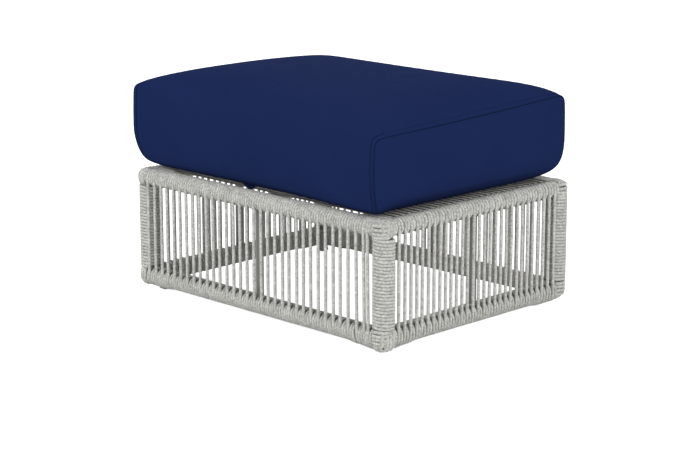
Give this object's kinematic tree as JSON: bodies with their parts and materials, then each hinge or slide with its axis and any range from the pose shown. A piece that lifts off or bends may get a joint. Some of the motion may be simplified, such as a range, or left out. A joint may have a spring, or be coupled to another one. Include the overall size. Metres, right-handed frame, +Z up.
{
  "type": "outdoor ottoman footstool",
  "caption": "Low rectangular outdoor ottoman: rope-wrapped tube frame strung with rope, foot glides and one loose padded cushion with ties.",
  "frame": {"origin": "on the floor, under the middle of the stool", "axes": "+X along the long side, +Y from the front long side to the back, +Z up"},
  "size_m": [0.734, 0.5522, 0.4623],
  "materials": {
    "rope": "round braided outdoor rope, light warm grey, matte",
    "tube": "grey powder coat, satin",
    "glide": "grey moulded plastic",
    "cover": "woven outdoor fabric, navy, matte, with sewn seams",
    "foam": "open-cell foam, off-white",
    "zip": "coil zip on a navy tape"
  },
  "bodies": {
    "frame": {"bottom_rail_back": "tube", "bottom_rail_front": "tube", "bottom_rail_left": "tube", "bottom_rail_right": "tube", "corner_post_back_left": "tube", "corner_post_back_right": "tube", "corner_post_front_left": "tube", "corner_post_front_right": "tube", "deck_bar": "tube", "foot_glide_back_left": "glide", "foot_glide_back_right": "glide", "foot_glide_front_left": "glide", "foot_glide_front_right": "glide", "foot_tube_back_left": "tube", "foot_tube_back_right": "tube", "foot_tube_front_left": "tube", "foot_tube_front_right": "tube", "mid_post_back": "tube", "mid_post_front": "tube", "mid_post_left": "tube", "mid_post_right": "tube", "rope_deck": "rope", "rope_panel_back": "rope", "rope_panel_front": "rope", "rope_panel_left": "rope", "rope_panel_right": "rope", "rope_top_turns_back": "rope", "rope_top_turns_front": "rope", "rope_winding_back_left": "rope", "rope_winding_back_right": "rope", "rope_winding_front_left": "rope", "rope_winding_front_right": "rope", "top_rail_back": "tube", "top_rail_front": "tube", "top_rail_left": "tube", "top_rail_right": "tube"},
    "cushion": {"cushion_core": "foam", "cushion_cover": "cover", "cushion_tie_back": "cover", "cushion_tie_front": "cover", "cushion_zip": "zip"}
  },
  "joints": [
    {"name": "cushion_lift", "type": "slide", "parent": "frame", "child": "cushion", "axis": [0, 0, 1], "range_m": [0, 0.15]}
  ]
}
